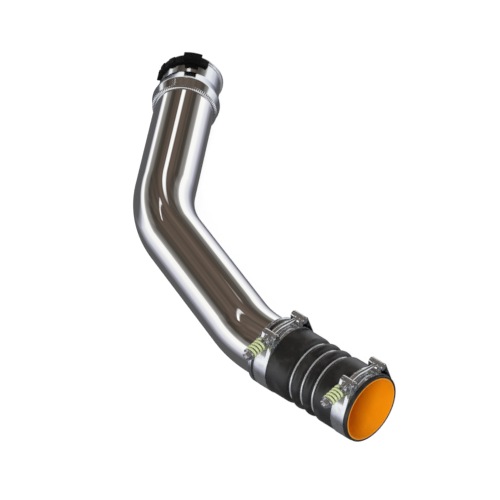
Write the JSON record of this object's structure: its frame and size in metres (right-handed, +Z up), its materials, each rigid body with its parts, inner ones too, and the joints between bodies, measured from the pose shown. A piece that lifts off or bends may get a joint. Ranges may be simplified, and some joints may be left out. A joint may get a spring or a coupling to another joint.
{
  "type": "intercooler pipe",
  "caption": "Bent aluminium charge-air pipe with a ribbed, clamped silicone hose at one end and a push-on socket with a spring clip at the other.",
  "frame": {"origin": "centre of the hose's open mouth", "axes": "+X out of the hose's mouth along its axis, +Z up, square to the plane that holds the pipe's whole centreline"},
  "size_m": [0.6148, 0.3776, 0.0991],
  "materials": {
    "polished_aluminium": "mirror polished",
    "turned_aluminium": "fine turned",
    "stainless": "bright rolled",
    "plated_spring": "pale yellow passivated",
    "steel_wire": "bright drawn",
    "silicone_black": "soft gloss over fabric",
    "silicone_orange": "smooth",
    "seal_rubber": "matt",
    "clip_plastic": "fine grained"
  },
  "bodies": {
    "root": {"main_tube": "polished_aluminium", "stop_ring": "turned_aluminium", "weld_bead": "turned_aluminium", "hose_cover": "silicone_black", "hose_liner": "silicone_orange", "socket": "turned_aluminium", "socket_seal": "seal_rubber", "clip_ring": "steel_wire", "clip_grip": "clip_plastic", "support_ring_1": "steel_wire", "support_ring_2": "steel_wire", "support_ring_3": "steel_wire", "tube_clamp_band": "stainless", "tube_clamp_bridge": "stainless", "tube_clamp_t_bolt": "stainless", "tube_clamp_trunnion": "stainless", "tube_clamp_sleeve": "stainless", "tube_clamp_washer": "stainless", "tube_clamp_nut": "stainless", "tube_clamp_spring": "plated_spring", "mouth_clamp_band": "stainless", "mouth_clamp_bridge": "stainless", "mouth_clamp_t_bolt": "stainless", "mouth_clamp_trunnion": "stainless", "mouth_clamp_sleeve": "stainless", "mouth_clamp_washer": "stainless", "mouth_clamp_nut": "stainless", "mouth_clamp_spring": "plated_spring"}
  },
  "joints": []
}
